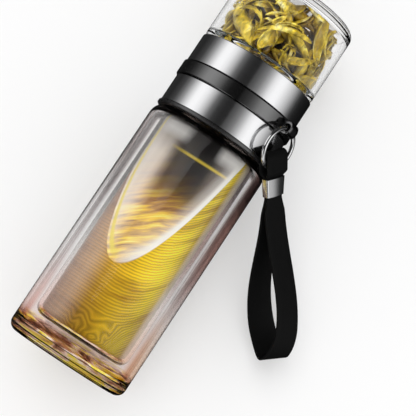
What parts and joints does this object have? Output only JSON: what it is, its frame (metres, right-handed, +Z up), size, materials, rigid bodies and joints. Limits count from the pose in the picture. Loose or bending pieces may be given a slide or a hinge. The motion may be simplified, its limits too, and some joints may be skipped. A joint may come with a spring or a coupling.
{
  "type": "glass tea flask",
  "caption": "Double-walled glass flask with a steel collar and strainer, an upper collar with a glass tea chamber, and a ring with a wrist strap.",
  "frame": {"origin": "centre of the flat glass foot that the flask stands on", "axes": "+Z up along the flask's axis, towards the tea chamber; +X from the axis towards the band's lug and ring"},
  "size_m": [0.1002, 0.1056, 0.2139],
  "materials": {
    "clear_glass": "clear and polished",
    "polished_steel": "polished stainless steel",
    "strainer_steel": "satin stainless steel",
    "chrome": "bright plated",
    "black_moulding": "semi-gloss moulded",
    "band_black": "glossy",
    "strap_black": "matt flat strap",
    "silicone": "translucent matt"
  },
  "bodies": {
    "glass_body": {"outer_glass": "clear_glass", "inner_glass": "clear_glass"},
    "body_seal": {"body_gasket": "silicone"},
    "lower_collar": {"lower_core": "black_moulding", "lower_sleeve": "polished_steel"},
    "strainer_cup": {"strainer": "strainer_steel", "strainer_seal": "silicone"},
    "band": {"strap_band": "band_black"},
    "ring": {"strap_ring": "chrome"},
    "wrist_strap": {"strap": "strap_black", "ferrule": "chrome"},
    "collar_seal": {"collar_gasket": "silicone"},
    "tea_lid": {"upper_core": "black_moulding", "upper_sleeve": "polished_steel", "chamber_gasket": "silicone", "tea_chamber": "clear_glass"}
  },
  "joints": [
    {"name": "lower_collar_lift", "type": "slide", "parent": "glass_body", "child": "body_seal", "axis": [0, 0, 1], "range_m": [0, 0.0045]},
    {"name": "lower_collar_turn", "type": "hinge", "parent": "body_seal", "child": "lower_collar", "pos_m": [0, 0, 0.14], "axis": [0, 0, 1], "range_deg": [0, 540]},
    {"name": "strainer_lift", "type": "slide", "parent": "lower_collar", "child": "strainer_cup", "axis": [0, 0, 1], "range_m": [0, 0.03]},
    {"name": "band_turn", "type": "hinge", "parent": "lower_collar", "child": "band", "pos_m": [0, 0, 0.15345], "axis": [0, 0, 1], "continuous": true},
    {"name": "ring_swing", "type": "hinge", "parent": "band", "child": "ring", "pos_m": [0.037, 0, 0.15345], "axis": [0, -1, 0], "range_deg": [0, 150]},
    {"name": "strap_swing", "type": "hinge", "parent": "ring", "child": "wrist_strap", "pos_m": [0.037, 0, 0.1429], "axis": [1, 0, 0], "range_deg": [-105, 60]},
    {"name": "tea_lid_lift", "type": "slide", "parent": "lower_collar", "child": "collar_seal", "axis": [0, 0, 1], "range_m": [0, 0.0045]},
    {"name": "tea_lid_turn", "type": "hinge", "parent": "collar_seal", "child": "tea_lid", "pos_m": [0, 0, 0.165], "axis": [0, 0, 1], "range_deg": [0, 540]}
  ],
  "couplings": [
    {"joint": "lower_collar_lift", "follows": "lower_collar_turn", "m_per_rad": 0.00047746},
    {"joint": "tea_lid_lift", "follows": "tea_lid_turn", "m_per_rad": 0.00047746}
  ]
}
